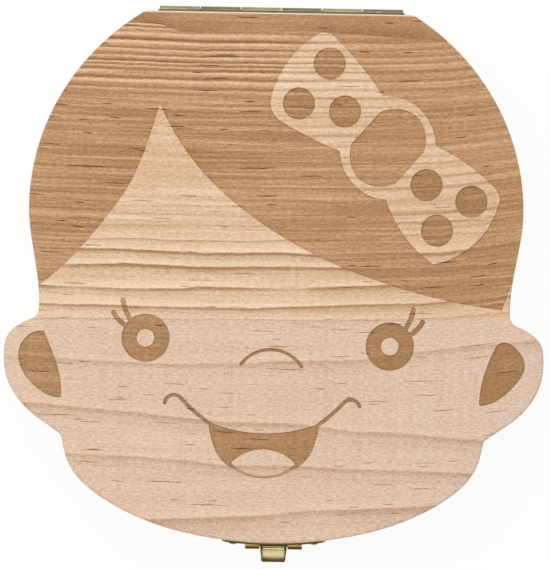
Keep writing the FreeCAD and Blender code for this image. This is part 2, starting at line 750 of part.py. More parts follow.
def latch_tongue():
    """Tongue: two side walls on the pin and a web, from below the hook to the lip, between them."""
    half = TONGUE_WIDTH / 2
    start = Vector(-half, 0, 0)
    web = moved(tongue_band(-SHEET / 2, SHEET / 2), start).extrude(Vector(TONGUE_WIDTH, 0, 0))
    wall_face = tongue_band(-SHEET / 2, SHEET / 2 + TONGUE_FLANGE)
    wall_top = tongue_side(SHEET / 2 + TONGUE_FLANGE)
    walls = []
    for place in (-half, half - SHEET):
        wall = moved(wall_face, Vector(place, 0, 0)).extrude(Vector(SHEET, 0, 0))
        walls.append(wall.makeFillet(TONGUE_WALL_ROUND, cross_edges(wall, [wall_top[0], wall_top[2]])))
        walls.append(Part.makeCylinder(latch_barrel(), SHEET, latch_axis() + Vector(place, 0, 0), RIGHT))
    bead = Part.makeCylinder(TONGUE_BEAD_RADIUS, TONGUE_WIDTH, tongue_side(0)[2] + start, RIGHT)
    bore = Part.makeCylinder(LATCH_PIN_RADIUS + PIN_CLEARANCE, TONGUE_WIDTH, latch_axis() + start, RIGHT)
    throat_width = TONGUE_WIDTH - 2 * SHEET
    reach = latch_barrel() + CUT_OVERRUN
    throat_corner = tongue_point(reach, web_start()) - Vector(throat_width / 2, 0, 0)
    throat = Part.makeBox(throat_width, 2 * reach, web_start() + reach, throat_corner)
    throat.rotate(latch_axis(), RIGHT, -TONGUE_TILT)
    return web.fuse(walls + [bead]).removeSplitter().cut([bore, throat]).common(tongue_plan())


def tongue_plan():
    """Upright prism that narrows the tongue towards its lip and rounds the lip's two corners."""
    back = LATCH_SHIFT + TONGUE_WIDTH / 2 + LATCH_STANDOFF
    tip = LATCH_SHIFT + TONGUE_TIP_WIDTH / 2
    lip = tongue_side(0)[2]
    foot = lip.z - latch_barrel()
    front = lip.y - TONGUE_BEAD_RADIUS - LATCH_STANDOFF
    middle = latch_axis().y
    behind = middle + latch_barrel() + LATCH_STANDOFF
    right = [(back, behind), (back, middle), (tip, front)]
    left = [(2 * LATCH_SHIFT - x, y) for x, y in reversed(right)]
    points = [Vector(x, y, foot) for x, y in right + left]
    face = region([line(a, b) for a, b in zip(points, points[1:] + points[:1])])
    prism = face.extrude(Vector(0, 0, TOP_Z - foot))
    return prism.makeFillet(TONGUE_TIP_ROUND, upright_edges(prism, [points[2], points[3]]))


def web_start():
    """Distance from the latch axis to the web, which swings clear under the hook's lip."""
    lip_out = SHEET + HOOK_REACH - latch_barrel() - LATCH_STANDOFF
    lip_down = HOOK_DROP + SHEET + HOOK_LIP
    return math.hypot(lip_out, lip_down) + HOOK_CLEARANCE


def hook_top():
    """Upper face of the hook, which is also the catch plate's upper edge."""
    return latch_axis().z - HOOK_DROP


def catch_plate():
    """Plate on the base with a hook bent out of its upper edge, for the tongue's slot."""
    sheet = plate(LATCH_WIDTH, hook_top() - CATCH_HEIGHT, hook_top())
    corner = Vector(LATCH_SHIFT - HOOK_WIDTH / 2, CHIN_Y - SHEET - HOOK_REACH, hook_top() - SHEET)
    reach = Part.makeBox(HOOK_WIDTH, HOOK_REACH + SHEET / 2, SHEET, corner)
    lip = Part.makeBox(HOOK_WIDTH, HOOK_LIP, HOOK_LIP, corner - Vector(0, 0, HOOK_LIP))
    return sheet.fuse([reach, lip]).removeSplitter().cut(nail_holes(catch_nail_seats()))


def main():
    """Write one file for each piece."""
    pieces = {
        "base_block": base_block(),
        "lid_board": lid_board(),
        "hinge_leaf_base": hinge_leaf(-1),
        "hinge_leaf_lid": hinge_leaf(1),
        "hinge_pin": hinge_pin(),
        "hinge_nails_base": nails(hinge_nail_seats(-1)),
        "hinge_nails_lid": nails(hinge_nail_seats(1)),
        "latch_plate": latch_plate(),
        "latch_pin": latch_pin(),
        "latch_tongue": latch_tongue(),
        "latch_nails": nails(latch_nail_seats()),
        "catch_plate": catch_plate(),
        "catch_nails": nails(catch_nail_seats()),
    }
    os.makedirs("parts", exist_ok=True)
    for name, shape in pieces.items():
        shape.exportStep(os.path.join("parts", name + ".step"))
        print(f"{name}: {len(shape.Solids)} solids, {len(shape.Faces)} faces, valid {shape.isValid()}")


main()
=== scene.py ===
"""Looks of a baby tooth box: two pine boards in the outline of a head, a rolled hinge and a small latch."""

import logging
import math
from abc import ABC, abstractmethod
from dataclasses import dataclass
from enum import Enum
from functools import cache
from typing import Any, Iterable

import bmesh
import bpy
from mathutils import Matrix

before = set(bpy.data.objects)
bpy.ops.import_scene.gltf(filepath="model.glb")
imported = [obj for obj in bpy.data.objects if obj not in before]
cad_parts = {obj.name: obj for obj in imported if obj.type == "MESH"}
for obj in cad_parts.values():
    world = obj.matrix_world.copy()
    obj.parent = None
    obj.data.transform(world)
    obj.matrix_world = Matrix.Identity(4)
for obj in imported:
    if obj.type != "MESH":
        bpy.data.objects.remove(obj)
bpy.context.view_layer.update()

LOG = logging.getLogger("tooth_box")
METRES_PER_MM = 0.001
MM_PER_METRE = 1000.0
WHITE = (1.0, 1.0, 1.0)

Number = int | float
Point = tuple[float, float]
Colour = tuple[float, float, float]


class Axis(Enum):
    """Directions of the part's frame."""

    ASIDE = "x"
    ALONG = "y"
    UP = "z"


class Blend(Enum):
    """Ways to lay one colour over another."""

    PLAIN = "MIX"
    OVERLAY = "OVERLAY"


class Slot(Enum):
    """Finishes that the part's record names."""

    PINE_BASE = "pine_base"
    PINE_LID = "pine_lid"
    BRASS_SHEET = "brass_sheet"
    BRASS_NAILS = "brass_nails"
    STEEL_WIRE = "steel_wire"


def tint(red: Number, green: Number, blue: Number) -> Colour:
    """Turns a screen colour into the linear light that shaders take.

    Args:
        red: Red from 0 to 255.
        green: Green from 0 to 255.
        blue: Blue from 0 to 255.

    Returns:
        The same colour in linear light, each channel from 0 to 1.
    """

    def channel(level: Number) -> float:
        """Linear light of one channel."""
        share = level / 255
        return share / 12.92 if share <= 0.04045 else ((share + 0.055) / 1.055) ** 2.4

    return channel(red), channel(green), channel(blue)


class Term:
    """A shader value, vector or colour that takes part in Python sums."""

    def __init__(self, sheet: "NodeSheet", socket: bpy.types.NodeSocket) -> None:
        """Keeps the node sheet and the output socket."""
        self.sheet = sheet
        self.socket = socket

    def __add__(self, other: Any) -> "Term":
        """Sum of two terms."""
        return self.sheet.sum("ADD", self, other)

    def __radd__(self, other: Any) -> "Term":
        """Sum with a number on the left."""
        return self.sheet.sum("ADD", other, self)

    def __sub__(self, other: Any) -> "Term":
        """Difference of two terms."""
        return self.sheet.sum("SUBTRACT", self, other)

    def __rsub__(self, other: Any) -> "Term":
        """Difference from a number on the left."""
        return self.sheet.sum("SUBTRACT", other, self)

    def __mul__(self, other: Any) -> "Term":
        """Product of two terms."""
        return self.sheet.sum("MULTIPLY", self, other)

    def __rmul__(self, other: Any) -> "Term":
        """Product with a number on the left."""
        return self.sheet.sum("MULTIPLY", other, self)

    def __truediv__(self, other: Any) -> "Term":
        """Quotient of two terms."""
        return self.sheet.sum("DIVIDE", self, other)

    def whole(self) -> "Term":
        """Whole number below."""
        return self.sheet.sum("FLOOR", self)

    def part(self) -> "Term":
        """Part after the whole number."""
        return self.sheet.sum("FRACT", self)

    def other(self, output: Any) -> "Term":
        """Another output of the same node."""
        return Term(self.sheet, self.socket.node.outputs[output])


class NodeSheet:
    """The node tree of one material or of the world."""

    def __init__(self, tree: bpy.types.NodeTree) -> None:
        """Empties the tree so that every node in it is made here."""
        self.tree = tree
        self.tree.nodes.clear()

    def add(
        self,
        kind: str,
        settings: dict[str, Any] | None = None,
        inputs: dict[Any, Any] | None = None,
        output: Any = 0,
    ) -> Term | None:
        """Adds one node.

        Args:
            kind: Type of the node.
            settings: Properties set before anything is linked, with stops for a ramp and points for a curve.
            inputs: Values or terms for its sockets, by name or number.
            output: Name or number of the socket that is used next.

        Returns:
            The chosen output as a term, or nothing for a node without outputs.
        """
        node = self.tree.nodes.new(kind)
        for name, value in (settings or {}).items():
            if name == "stops":
                self._set_stops(node.color_ramp, value)
            elif name == "points":
                self._set_points(node.mapping, value)
            else:
                setattr(node, name, value)
        for name, value in (inputs or {}).items():
            socket = node.inputs[name]
            if isinstance(value, Term):
                self.tree.links.new(value.socket, socket)
            elif socket.type == "RGBA":
                socket.default_value = (*value, 1.0)
            else:
                socket.default_value = value
        return Term(self, node.outputs[output]) if len(node.outputs) else None

    @staticmethod
    def _set_stops(ramp: bpy.types.ColorRamp, stops: Iterable[Point]) -> None:
        """Gives a ramp its grey stops.

        Args:
            ramp: Ramp of a new node.
            stops: Places and grey levels, in rising order.
        """
        wanted = list(stops)
        while len(ramp.elements) < len(wanted):
            ramp.elements.new(0.5)
        for element, (place, level) in zip(ramp.elements, wanted):
            element.position = place
            element.color = (level, level, level, 1.0)

    @staticmethod
    def _set_points(mapping: bpy.types.CurveMapping, points: Iterable[Point]) -> None:
        """Gives a curve straight runs between its points.

        Args:
            mapping: Curve of a new node.
            points: Places and levels, in rising order.
        """
        curve = mapping.curves[0].points
        wanted = list(points)
        while len(curve) < len(wanted):
            curve.new(0.5, 0.5)
        for point, place in zip(curve, wanted):
            point.location = place
            point.handle_type = "VECTOR"
        mapping.update()

    def sum(self, operation: str, *terms: Any) -> Term:
        """Adds the node of one step of arithmetic.

        Args:
            operation: Name of the operation.
            terms: Values or terms that it takes.

        Returns:
            Its result.
        """
        vectors = any(isinstance(term, Term) and term.socket.type == "VECTOR" for term in terms)
        if not vectors:
            return self.add("ShaderNodeMath", {"operation": operation}, dict(enumerate(terms)))
        spread = [(term,) * 3 if isinstance(term, (int, float)) else term for term in terms]
        return self.add("ShaderNodeVectorMath", {"operation": operation}, dict(enumerate(spread)))

    def vector(self, x: Any, y: Any, z: Any) -> Term:
        """Joins three values into a vector."""
        return self.add("ShaderNodeCombineXYZ", None, {"X": x, "Y": y, "Z": z})

    def place(self) -> tuple[Term, Term, Term]:
        """Where the surface is, in millimetres of the part's own frame.

        Returns:
            The places aside, along and up.
        """
        spot = self.add("ShaderNodeTexCoord", None, None, "Object") * MM_PER_METRE
        axes = self.add("ShaderNodeSeparateXYZ", None, {0: spot})
        return axes, axes.other("Y"), axes.other("Z")

    def noise(self, spot: Term, detail: float = 2.0, roughness: float = 0.5) -> Term:
        """Smooth noise about half, one cell to a unit of the spot."""
        inputs = {"Vector": spot, "Scale": 1.0, "Detail": detail, "Roughness": roughness}
        return self.add("ShaderNodeTexNoise", {"noise_dimensions": "3D"}, inputs)

    def smooth(self, value: Term, low: Number, high: Number, top: Number = 1.0) -> Term:
        """Smooth step from 0 at low to the top level at high, which falls where high is the lower one."""
        inputs = {"Value": value, "From Min": low, "From Max": high, "To Min": 0.0, "To Max": top}
        return self.add("ShaderNodeMapRange", {"interpolation_type": "SMOOTHSTEP"}, inputs)

    def span(self, value: Term, low: Number, high: Number) -> Term:
        """Even step from 0 at low to 1 at high."""
        inputs = {"Value": value, "From Min": low, "From Max": high, "To Min": 0.0, "To Max": 1.0}
        return self.add("ShaderNodeMapRange", {"clamp": True}, inputs)

    def ramp(self, value: Term, stops: Iterable[Point]) -> Term:
        """Grey level from stops."""
        return self.add("ShaderNodeValToRGB", {"stops": stops}, {"Fac": value})

    def curve(self, value: Term, points: Iterable[Point]) -> Term:
        """Level along straight runs between points."""
        return self.add("ShaderNodeFloatCurve", {"points": points}, {"Value": value})

    def mix(self, share: Any, first: Any, second: Any, blend: Blend = Blend.PLAIN) -> Term:
        """Mixes two colours by a share of the second."""
        settings = {"data_type": "RGBA", "blend_type": blend.value, "clamp_factor": True}
        return self.add("ShaderNodeMix", settings, {0: share, 6: first, 7: second}, 2)

    def bump(self, inputs: dict[str, Any]) -> Term:
        """Fine relief of the surface."""
        return self.add("ShaderNodeBump", None, inputs)

    def principled(self, inputs: dict[str, Any]) -> Term:
        """The common shader of wood and metal."""
        return self.add("ShaderNodeBsdfPrincipled", None, inputs)

    def surface(self, shader: Term) -> None:
        """Ends the sheet with the surface that shows."""
        self.add("ShaderNodeOutputMaterial", None, {"Surface": shader})


def new_material(name: str) -> tuple[bpy.types.Material, NodeSheet]:
    """Makes an empty material.

    Args:
        name: Name of the material.

    Returns:
        The material and its node sheet.
    """
    material = bpy.data.materials.new(name)
    material.use_nodes = True
    return material, NodeSheet(material.node_tree)


@dataclass(frozen=True)
class Zone:
    """A soft step from a start, where its share is none, to where it is full, which may be the lower end."""

    start: float
    full: float

    def share(self, sheet: NodeSheet, place: Term) -> Term:
        """Share of the zone at a place."""
        return sheet.smooth(place, self.start, self.full)


@dataclass(frozen=True)
class Cloud:
    """Noise drawn out one way: its cells to a millimetre along and across, its detail and its roughness."""

    along: float
    across: float
    detail: float
    roughness: float = 0.5

    def level(self, sheet: NodeSheet, x: Term, y: Term, z: Term | Number, seed: float) -> Term:
        """Level of the noise at a place.

        Args:
            sheet: Node sheet of the finish.
            x: Place along.
            y: Place across.
            z: Place up or down.
            seed: Shift that gives each finish a pattern of its own.

        Returns:
            The level, which sways about half.
        """
        spot = sheet.vector(x * self.along, y * self.across, z * self.across + seed)
        return sheet.noise(spot, self.detail, self.roughness)


@dataclass(frozen=True)
class Chart:
    """A place on a board in millimetres, and where it lies on the curves of the growth lines.

    Across is the place across the grain, with the drift of the lines taken off. Along and level are shares
    of the curves' span, and the fading is the run of the noise that wears the lines thin.
    """

    x: Term
    y: Term
    depth: Term
    across: Term
    along: Term
    level: Term
    fading: Term
    span: float

    def share(self, place: float) -> float:
        """Share of the span at a place in millimetres, with its middle at zero."""
        return place / self.span + 0.5


@dataclass(frozen=True)
class GrainStroke:
    """A growth line laid over the board, in millimetres: its run, its strength and its soft widths.

    The echo is the strength of a second, fainter line within the wide side, and the glow is the width of the
    pale wood behind the line.
    """

    run: tuple[Point, ...]
    strength: float
    above: float = 0.3
    below: float = 1.2
    echo: float = 0.0
    glow: float = 2.0

    def offset(self, sheet: NodeSheet, chart: Chart) -> Term:
        """How far behind the line a place is.

        Args:
            sheet: Node sheet of the finish.
            chart: The place on the board.

        Returns:
            The distance as a share of the chart's span, below zero in front of the line.
        """
        points = [(chart.share(along), chart.share(across)) for along, across in self.run]
        return chart.level - sheet.curve(chart.along, points)

    def stops(self) -> tuple[Point, ...]:
        """Darkness across the line.

        Returns:
            Places from the narrow side to the wide side, as shares of the width, and their darkness.
        """
        crest = self.above / (self.above + self.below)
        tail = 1 - crest
        return (
            (0.0, 0.0),
            (crest, 1.0),
            (crest + tail * 0.14, 0.85),
            (crest + tail * 0.3, 0.32),
            (crest + tail * 0.5, 0.2),
            (crest + tail * 0.62, 0.14 + self.echo),
            (crest + tail * 0.74, 0.1),
            (1.0, 0.0),
        )

    def marks(self, sheet: NodeSheet, chart: Chart) -> tuple[Term, Term]:
        """Darkness of the line, sharp on one side and fading on the other, and the pale wood behind it.

        Args:
            sheet: Node sheet of the finish.
            chart: The place on the board.

        Returns:
            The shares of the line's colour and of the pale wood.
        """
        behind = self.offset(sheet, chart)
        seed = self.run[0][1] * STROKE_SEED_STEP
        fade = sheet.noise(sheet.vector(chart.fading, seed, seed))
        strength = sheet.smooth(fade, LINE_FADE.start, LINE_FADE.full, self.strength)
        width = self.above + self.below
        place = sheet.sum("MULTIPLY_ADD", behind, -chart.span / width, self.above / width)
        dark = sheet.ramp(place, self.stops())
        pale = sheet.ramp(behind * (chart.span / self.glow), GLOW_STOPS)
        return dark * strength, pale * strength


@dataclass(frozen=True)
class RingField:
    """Close growth lines at uneven steps between two places across the board, in millimetres."""

    start: float
    end: float
    first_gap: float
    last_gap: float

    def places(self) -> list[float]:
        """Works out the lines, whose gaps change evenly from front to back with a sway of their own.

        Returns:
            The places of the lines from front to back.
        """
        found: list[float] = []
        place = self.start
        while place < self.end:
            found.append(place)
            share = (place - self.start) / (self.end - self.start)
            sway = 0.35 * math.sin(5.3 * len(found)) + 0.2 * math.sin(2.1 * len(found))
            place += (self.first_gap + (self.last_gap - self.first_gap) * share) * (1 + sway)
        return found

    def strengths(self) -> list[float]:
        """Strength of each line, from front to back."""
        return [0.7 + 0.3 * math.sin(2.4 * number + 1.0) for number in range(len(self.places()))]


@dataclass(frozen=True)
class PineColours:
    """Colours of pine: its brightest streaks, its common tones, its tone low on the face, lines and resin.

    The contrast is that of its fine streaks, and the resin the strength of its dark marks. The growth is
    that of its wide lines, and the close lines that of its narrow ones on the bow's side of the board. The
    dots of the bow may have the low tone. The pale edge colour lies along the back edge, and the faint one
    along the lower edge of the tongue in the mouth.
    """

    name: str
    glow: Colour
    pale: Colour
    middle: Colour
    low: Colour
    line: Colour
    streak: Colour
    contrast: float
    resin: float
    growth: float
    close_lines: float
    dots: bool = False
    edge_pale: Colour | None = None
    faint: Colour | None = None


@dataclass(frozen=True)
class Dash:
    """Short dark resin marks along the grain, in millimetres.

    Length and width are those of the cell that a mark may lie in, the core is the mark's share of it, and
    the share is that of the cells with a mark.
    """

    length: float
    width: float
    core: float
    share: float


@dataclass(frozen=True)
class Lean:
    """How far growth lines shift across the board for each millimetre of depth, at its front and its back.

    Wood down to the skin's depth shows the lines where the top shows them.
    """

    front: float
    back: float
    front_end: float = -45.0
    back_end: float = 25.0
    skin: float = 0.5
    deepest: float = 20.0

    def shift(self, sheet: NodeSheet, y: Term, depth: Term) -> Term:
        """Shift of the lines at a place.

        Args:
            sheet: Node sheet of the finish.
            y: Place across the board.
            depth: Depth under the board's top.

        Returns:
            The shift in millimetres.
        """
        under = sheet.span(depth, self.skin, self.skin + self.deepest) * self.deepest
        turn = sheet.smooth(y, self.front_end, self.back_end) * (self.back - self.front)
        return under * (self.front + turn)


@dataclass(frozen=True)
class Grain:
    """The grain at a place: shares of its tones, lines and marks, and levels of grit and milling marks."""

    tone: Term
    low: Term
    light: Term
    streak: Term
    fibre: Term
    line: Term
    dash: Term
    grit: Term
    mill: Term


TREMBLE = Cloud(0.07, 0.15, 3.0)
RAGGED = Cloud(0.5, 1.2, 3.0, 0.7)
BROAD = Cloud(0.012, 0.13, 2.0)
COARSE = Cloud(0.02, 0.5, 3.0, 0.6)
FINE = Cloud(0.022, 1.5, 4.0, 0.7)
GRIT = Cloud(0.9, 2.6, 5.0, 0.9)
MILLING = Cloud(0.4, 0.02, 3.0, 0.7)
SMUDGE = Cloud(0.35, 0.5, 4.0, 0.6)
SPECK = Cloud(2.5, 2.5, 2.0, 0.6)
SCRATCH = Cloud(0.6, 9.0, 2.0, 0.6)

# Steps from the level of a noise to a share
LINE_FADE = Zone(0.1, 0.5)
TONE_STEP = Zone(0.36, 0.62)
STREAK_STEP = Zone(0.5, 0.36)
FIBRE_STEP = Zone(0.48, 0.68)
GRIT_STEP = Zone(0.3, 0.7)

# Places and levels across a wide line's pale wood, and across one close ring
GLOW_STOPS = ((0.0, 0.0), (0.2, 1.0), (1.0, 0.0))
RING_DARK_STOPS = ((0.0, 0.9), (0.12, 0.2), (0.25, 0.0), (0.72, 0.1), (0.88, 1.0))
RING_PALE_STOPS = ((0.2, 0.0), (0.4, 0.5), (0.62, 1.0), (0.72, 0.4), (0.8, 0.0))

# Runs of the noise that wears lines thin, in cells to a millimetre, and the steps between lines in it
STROKE_FADING = 0.05
STROKE_SEED_STEP = 3.7
RING_FADING = 0.025
RING_SEED_STEP = 7.3

SANDED = PineColours(
    name="sanded",
    glow=tint(249, 222, 193),
    pale=tint(230, 198, 166),
    middle=tint(219, 182, 147),
    low=tint(217, 190, 171),
    line=tint(160, 110, 68),
    streak=tint(136, 92, 60),
    contrast=0.2,
    resin=0.7,
    growth=1.0,
    close_lines=0.35,
)
SCORCHED = PineColours(
    name="scorched",
    glow=tint(230, 192, 155),
    pale=tint(195, 152, 110),
    middle=tint(177, 132, 90),
    low=tint(160, 117, 76),
    line=tint(138, 94, 56),
    streak=tint(78, 42, 20),
    contrast=0.5,
    resin=1.0,
    growth=0.4,
    close_lines=0.0,
    dots=True,
    edge_pale=tint(238, 222, 205),
    faint=tint(206, 170, 136),
)


@dataclass(frozen=True)
class PineFinish:
    """Unvarnished pine whose grain runs from side to side, in sanded or in scorched colours.

    Its sizes and zones are in millimetres. The zones called side lie along the grain, those called front or
    back across it, and the plain edge across its own line. The surface is a depth, and the dot and the mouth
    are distances from a middle. Low wood is pinker, calm wood has fewer streaks, warm wood is browner and
    dull wood has weaker pale lines. Close lines are strong at the back and weak on the open side.
    """

    name: str
    strokes: tuple[GrainStroke, ...]
    rings: RingField
    drift: tuple[Point, ...]
    top: float
    lean: Lean
    seed: float
    plain_back: GrainStroke | None = None
    dot_places: tuple[Point, ...] = ()
    dashes: tuple[Dash, ...] = (
        Dash(length=44.0, width=1.2, core=0.12, share=0.12),
        Dash(length=20.0, width=0.9, core=0.15, share=0.16),
        Dash(length=9.0, width=0.8, core=0.16, share=0.09),
    )
    reach: float = 110.0
    drift_reach: float = 5.0
    tremble: float = 0.7
    raggedness: float = 0.35
    dash_lean: float = 0.3
    surface: Zone = Zone(1.5, 0.75)
    low_front: Zone = Zone(-7.0, -10.0)
    low_side: Zone = Zone(10.0, 45.0)
    calm_side: Zone = Zone(0.0, 20.0)
    warm_side: Zone = Zone(2.0, 18.0)
    warm_front: Zone = Zone(-12.0, -4.0)
    warm_back: Zone = Zone(32.0, 18.0)
    dull_side: Zone = Zone(15.0, 45.0)
    close_back: Zone = Zone(40.0, 43.0)
    open_side: Zone = Zone(-4.0, 10.0)
    bow_side: Zone = Zone(0.0, 8.0)
    plain_edge: Zone = Zone(-0.1, 0.3)
    edge_pale_zone: Zone = Zone(58.75, 58.95)
    faint_front: Zone = Zone(-41.5, -42.7)
    mouth: Zone = Zone(12.0, 11.0)
    dot: Zone = Zone(4.1, 3.75)

    def chart(self, sheet: NodeSheet) -> Chart:
        """Finds the place on the board.

        Args:
            sheet: Node sheet of the finish.

        Returns:
            The place, along and across the grain.
        """
        x, y, z = sheet.place()
        depth = self.top - z
        tremble = TREMBLE.level(sheet, x, y, depth, self.seed) - 0.5
        ragged = RAGGED.level(sheet, x, y, depth, self.seed) - 0.5
        sway = tremble * self.tremble + ragged * self.raggedness
        level = y - self.lean.shift(sheet, y, depth) + sway
        span = 2 * self.reach
        along = x / span + 0.5
        drift_span = 2 * self.drift_reach
        points = [(place / span + 0.5, shift / drift_span + 0.5) for place, shift in self.drift]
        drift = (sheet.curve(along, points) - 0.5) * drift_span
        return Chart(x, y, depth, level - drift, along, level / span + 0.5, x * STROKE_FADING, span)

    def ring_marks(self, sheet: NodeSheet, chart: Chart) -> tuple[Term, Term]:
        """Close growth lines and the pale streaks between them.

        Args:
            sheet: Node sheet of the finish.
            chart: The place on the board.

        Returns:
            The shares of the line's colour and of the pale wood.
        """
        start, end = self.rings.start, self.rings.end
        strengths = [0.0, *self.rings.strengths()[1:], 0.0]
        last = len(strengths) - 1
        share = sheet.span(chart.across, start, end)
        spots = [(place - start) / (end - start) for place in (*self.rings.places(), end)]
        number = sheet.curve(share, [(spot, i / last) for i, spot in enumerate(spots)]) * last
        within = number.part()
        fade = sheet.noise(sheet.vector(chart.x * RING_FADING, number.whole() * RING_SEED_STEP, self.seed))
        strength = sheet.curve(share, list(zip(spots, strengths))) * LINE_FADE.share(sheet, fade)
        dark = sheet.ramp(within, RING_DARK_STOPS)
        pale = sheet.ramp(within, RING_PALE_STOPS)
        return dark * strength, pale * strength

    def dash_marks(self, sheet: NodeSheet, chart: Chart) -> Term:
        """Resin marks of every size.

        Args:
            sheet: Node sheet of the finish.
            chart: The place on the board.

        Returns:
            The share of the marks' colour.
        """
        total: Any = 0.0
        for dash in self.dashes:
            row = chart.across / dash.width + self.seed
            cell = sheet.vector(chart.x / dash.length + row * self.dash_lean, row, 0.0)
            inputs = {"Vector": cell, "Scale": 1.0}
            near = sheet.add("ShaderNodeTexVoronoi", {"voronoi_dimensions": "2D"}, inputs)
            chance = sheet.add("ShaderNodeSeparateColor", None, {0: near.other("Color")})
            core = sheet.smooth(near, dash.core, dash.core * 0.6)
            total = core * sheet.smooth(chance, 1 - dash.share, 1 - dash.share / 2) + total
        return total

    def dots(self, sheet: NodeSheet, chart: Chart) -> Any:
        """Share of the bow's dots, which have the lower face's tone.

        Args:
            sheet: Node sheet of the finish.
            chart: The place on the board.

        Returns:
            The share from 0 to 1.
        """
        total: Any = 0.0
        flat = sheet.vector(chart.x, chart.y, 0.0)
        for place in self.dot_places:
            inputs = {0: flat, 1: (*place, 0.0)}
            away = sheet.add("ShaderNodeVectorMath", {"operation": "DISTANCE"}, inputs, "Value")
            total = self.dot.share(sheet, away) + total
        return total

    def growth(self, sheet: NodeSheet, colours: PineColours, chart: Chart) -> tuple[Term, Term, Any]:
        """Growth lines, close and wide, and the pale wood between them.

        Args:
            sheet: Node sheet of the finish.
            colours: Colours that the grain is laid in.
            chart: The place on the board.

        Returns:
            The shares of the lines' colour, of the pale wood and of the plain wood at the back.
        """
        lines, lights = self.ring_marks(sheet, chart)
        plain: Any = 0.0
        if self.plain_back is not None:
            offset = self.plain_back.offset(sheet, chart)
            plain = self.plain_edge.share(sheet, offset * chart.span)
            opened = self.open_side.share(sheet, chart.x) * 0.8
            close = self.close_back.share(sheet, chart.across) * (1 - opened)
            beside = self.bow_side.share(sheet, chart.x) * colours.close_lines
            lines = lines * (0.25 + close * 0.75 + beside) * (1 - plain)
            lines = lines + self.plain_back.marks(sheet, chart)[0]
            lights = lights * close * (1 - plain) * 1.7
        marks = [stroke.marks(sheet, chart) for stroke in self.strokes]
        lines = lines + sum(dark for dark, _ in marks) * colours.growth
        glow = (0.7 - self.dull_side.share(sheet, chart.x) * 0.35) * colours.growth
        lights = lights + sum(pale for _, pale in marks) * glow
        return lines, lights, plain

    def grain(self, sheet: NodeSheet, colours: PineColours, chart: Chart) -> Grain:
        """Works out the grain.

        Args:
            sheet: Node sheet of the finish.
            colours: Colours that the grain is laid in.
            chart: The place on the board.

        Returns:
            The shares and levels of the grain.
        """
        x, y, depth, across = chart.x, chart.y, chart.depth, chart.across
        surface = self.surface.share(sheet, depth)
        below = self.low_front.share(sheet, y) * surface
        low = below + self.dots(sheet, chart) if colours.dots else below
        lines, lights, plain = self.growth(sheet, colours, chart)
        calm = below * 0.6 + self.calm_side.share(sheet, x) * 0.3 + plain * 0.6
        warm_row = self.warm_front.share(sheet, y) * self.warm_back.share(sheet, y)
        warm = self.warm_side.share(sheet, x) * warm_row
        broad = BROAD.level(sheet, x, across, depth, self.seed)
        coarse = COARSE.level(sheet, x, across, depth, self.seed)
        fine = FINE.level(sheet, x, across, depth, self.seed)
        return Grain(
            tone=TONE_STEP.share(sheet, coarse * 0.6 + broad * 0.4) + warm * 0.6,
            low=low * (0.6 + self.low_side.share(sheet, x) * 0.2),
            light=lights * (0.92 - low * 0.22),
            streak=STREAK_STEP.share(sheet, fine) * (1 - calm),
            fibre=FIBRE_STEP.share(sheet, fine) * (1 - calm),
            line=lines,
            dash=self.dash_marks(sheet, chart) * (0.4 + surface * 0.6),
            grit=GRIT_STEP.share(sheet, GRIT.level(sheet, x, across, depth, self.seed)),
            mill=MILLING.level(sheet, x, y, 0.0, self.seed),
        )

    def colour(self, sheet: NodeSheet, colours: PineColours, chart: Chart, grain: Grain) -> Term:
        """Lays the grain in one set of colours.

        Args:
            sheet: Node sheet of the finish.
            colours: Colours from pale wood to resin.
            chart: The place on the board.
            grain: The grain at the place.

        Returns:
            The colour of the wood.
        """
        wood = sheet.mix(grain.tone, colours.pale, colours.middle)
        wood = sheet.mix(grain.low, wood, colours.low)
        wood = sheet.mix(grain.streak * colours.contrast, wood, colours.glow)
        wood = sheet.mix(grain.fibre * colours.contrast, wood, colours.line)
        wood = sheet.mix(grain.light, wood, colours.glow)
        wood = sheet.mix(grain.line, wood, colours.line)
        wood = sheet.mix(grain.dash * colours.resin, wood, colours.streak)
        wood = sheet.mix(0.12, wood, grain.mill, Blend.OVERLAY)
        wood = sheet.mix(0.4, wood, grain.grit, Blend.OVERLAY)
        # paler along the back edge of the engraving
        if colours.edge_pale is not None:
            wood = sheet.mix(self.edge_pale_zone.share(sheet, chart.y) * 0.8, wood, colours.edge_pale)
        if colours.faint is not None:
            middle = self.mouth.share(sheet, sheet.sum("ABSOLUTE", chart.x))
            wood = sheet.mix(self.faint_front.share(sheet, chart.y) * middle * 0.7, wood, colours.faint)
        return wood

    @cache
    def material(self, colours: PineColours) -> bpy.types.Material:
        """Builds the finish in one set of colours, once.

        Args:
            colours: Colours of sanded or of scorched wood.

        Returns:
            The pine material.
        """
        material, sheet = new_material(f"{self.name}_{colours.name}")
        chart = self.chart(sheet)
        grain = self.grain(sheet, colours, chart)
        height = grain.grit * 0.6 + grain.fibre * 0.4 - grain.dash * 0.5
        bump = {"Strength": 0.3, "Distance": 0.05 * METRES_PER_MM, "Height": height}
        look = {
            "Base Color": self.colour(sheet, colours, chart, grain),
            "Roughness": 0.66 + (grain.grit - 0.5) * 0.2,
            "Specular IOR Level": 0.25,
            "Normal": sheet.bump(bump),
        }
        sheet.surface(sheet.principled(look))
        return material


@dataclass(frozen=True)
class Shade:
    """Painted shade laid over one end of a fitting: its colour, its axis, where it starts and where it is
    full.

    With a middle, it lies to both sides of it, and start and full are distances from it.
    """

    colour: Colour
    axis: Axis
    start: float
    full: float
    middle: float | None = None

    def mask(self, sheet: NodeSheet, spot: dict[Axis, Term]) -> Term:
        """Share of the painted shade at a place.

        Args:
            sheet: Node sheet of the finish.
            spot: The place, in millimetres along each axis.

        Returns:
            The share from 0 to 1.
        """
        place = spot[self.axis]
        if self.middle is not None:
            place = sheet.sum("ABSOLUTE", place - self.middle)
        return sheet.smooth(place, self.start, self.full)


